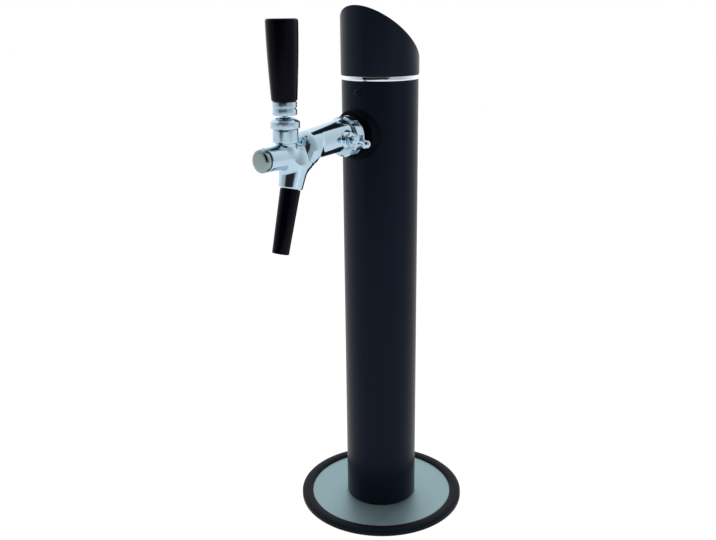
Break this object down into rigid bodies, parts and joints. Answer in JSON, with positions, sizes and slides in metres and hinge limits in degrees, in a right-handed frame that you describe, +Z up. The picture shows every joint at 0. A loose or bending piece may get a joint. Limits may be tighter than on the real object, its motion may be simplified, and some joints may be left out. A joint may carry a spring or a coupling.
{
  "type": "beer tower dispenser",
  "caption": "Free-standing black column on a steel base in a rubber tray, with a slanted cap and one pull tap with a flow-control lever.",
  "frame": {"origin": "column axis on the plane that the rubber tray stands on", "axes": "+Z up along the column, -Y towards the tap"},
  "size_m": [0.1794, 0.2567, 0.5308],
  "materials": {
    "chrome": "polished",
    "brushed_steel": "brushed",
    "black_coating": "satin powder coat",
    "cap_plastic": "satin",
    "grip_plastic": "gloss",
    "rubber": "matte",
    "seal_rubber": "matte",
    "seat_plastic": "moulded",
    "hose_plastic": "smooth",
    "cast_aluminium": "turned"
  },
  "bodies": {
    "tower": {"base_gasket": "rubber", "base_plate": "brushed_steel", "foot_flange": "cast_aluminium", "base_screw_1": "brushed_steel", "base_screw_2": "brushed_steel", "base_screw_3": "brushed_steel", "column_tube": "black_coating", "trim_ring": "chrome", "top_cap": "cap_plastic", "cap_screw": "black_coating", "tap_escutcheon": "rubber", "shank": "chrome", "shank_backing": "cast_aluminium", "shank_locknut": "chrome", "union_washer": "seal_rubber", "union_nut": "chrome", "tap_body": "chrome", "front_cap": "chrome", "front_seal": "seal_rubber", "ball_seat": "seat_plastic", "lever_bonnet": "chrome", "flow_gland": "chrome", "nozzle": "grip_plastic", "nozzle_seal": "seal_rubber", "hose_tail": "chrome", "tail_nut": "chrome", "hose_clamp_upper": "brushed_steel", "hose_clamp_lower": "brushed_steel", "beer_line": "hose_plastic", "inlet_fitting": "chrome", "inlet_nut": "chrome"},
    "handle": {"tap_lever": "chrome", "handle_ferrule": "chrome", "handle_grip": "grip_plastic"},
    "valve": {"valve_piston": "chrome", "valve_seal": "seal_rubber", "piston_ring": "seal_rubber"},
    "flow_handle": {"flow_lever": "chrome"},
    "flow_control": {"flow_cone": "seat_plastic"}
  },
  "joints": [
    {"name": "handle_pull", "type": "hinge", "parent": "tower", "child": "handle", "pos_m": [0, -0.1335, 0.424], "axis": [1, 0, 0], "range_deg": [0, 20]},
    {"name": "valve_slide", "type": "slide", "parent": "tower", "child": "valve", "axis": [0, 1, 0], "range_m": [0, 0.0077]},
    {"name": "flow_turn", "type": "hinge", "parent": "tower", "child": "flow_handle", "pos_m": [0, -0.068, 0.411], "axis": [1, 0, 0], "range_deg": [-40, 40]},
    {"name": "flow_slide", "type": "slide", "parent": "tower", "child": "flow_control", "axis": [0, 1, 0], "range_m": [-0.0018, 0.0018]}
  ],
  "couplings": [
    {"joint": "valve_slide", "follows": "handle_pull", "m_per_rad": 0.022},
    {"joint": "flow_slide", "follows": "flow_turn", "m_per_rad": 0.0025}
  ]
}
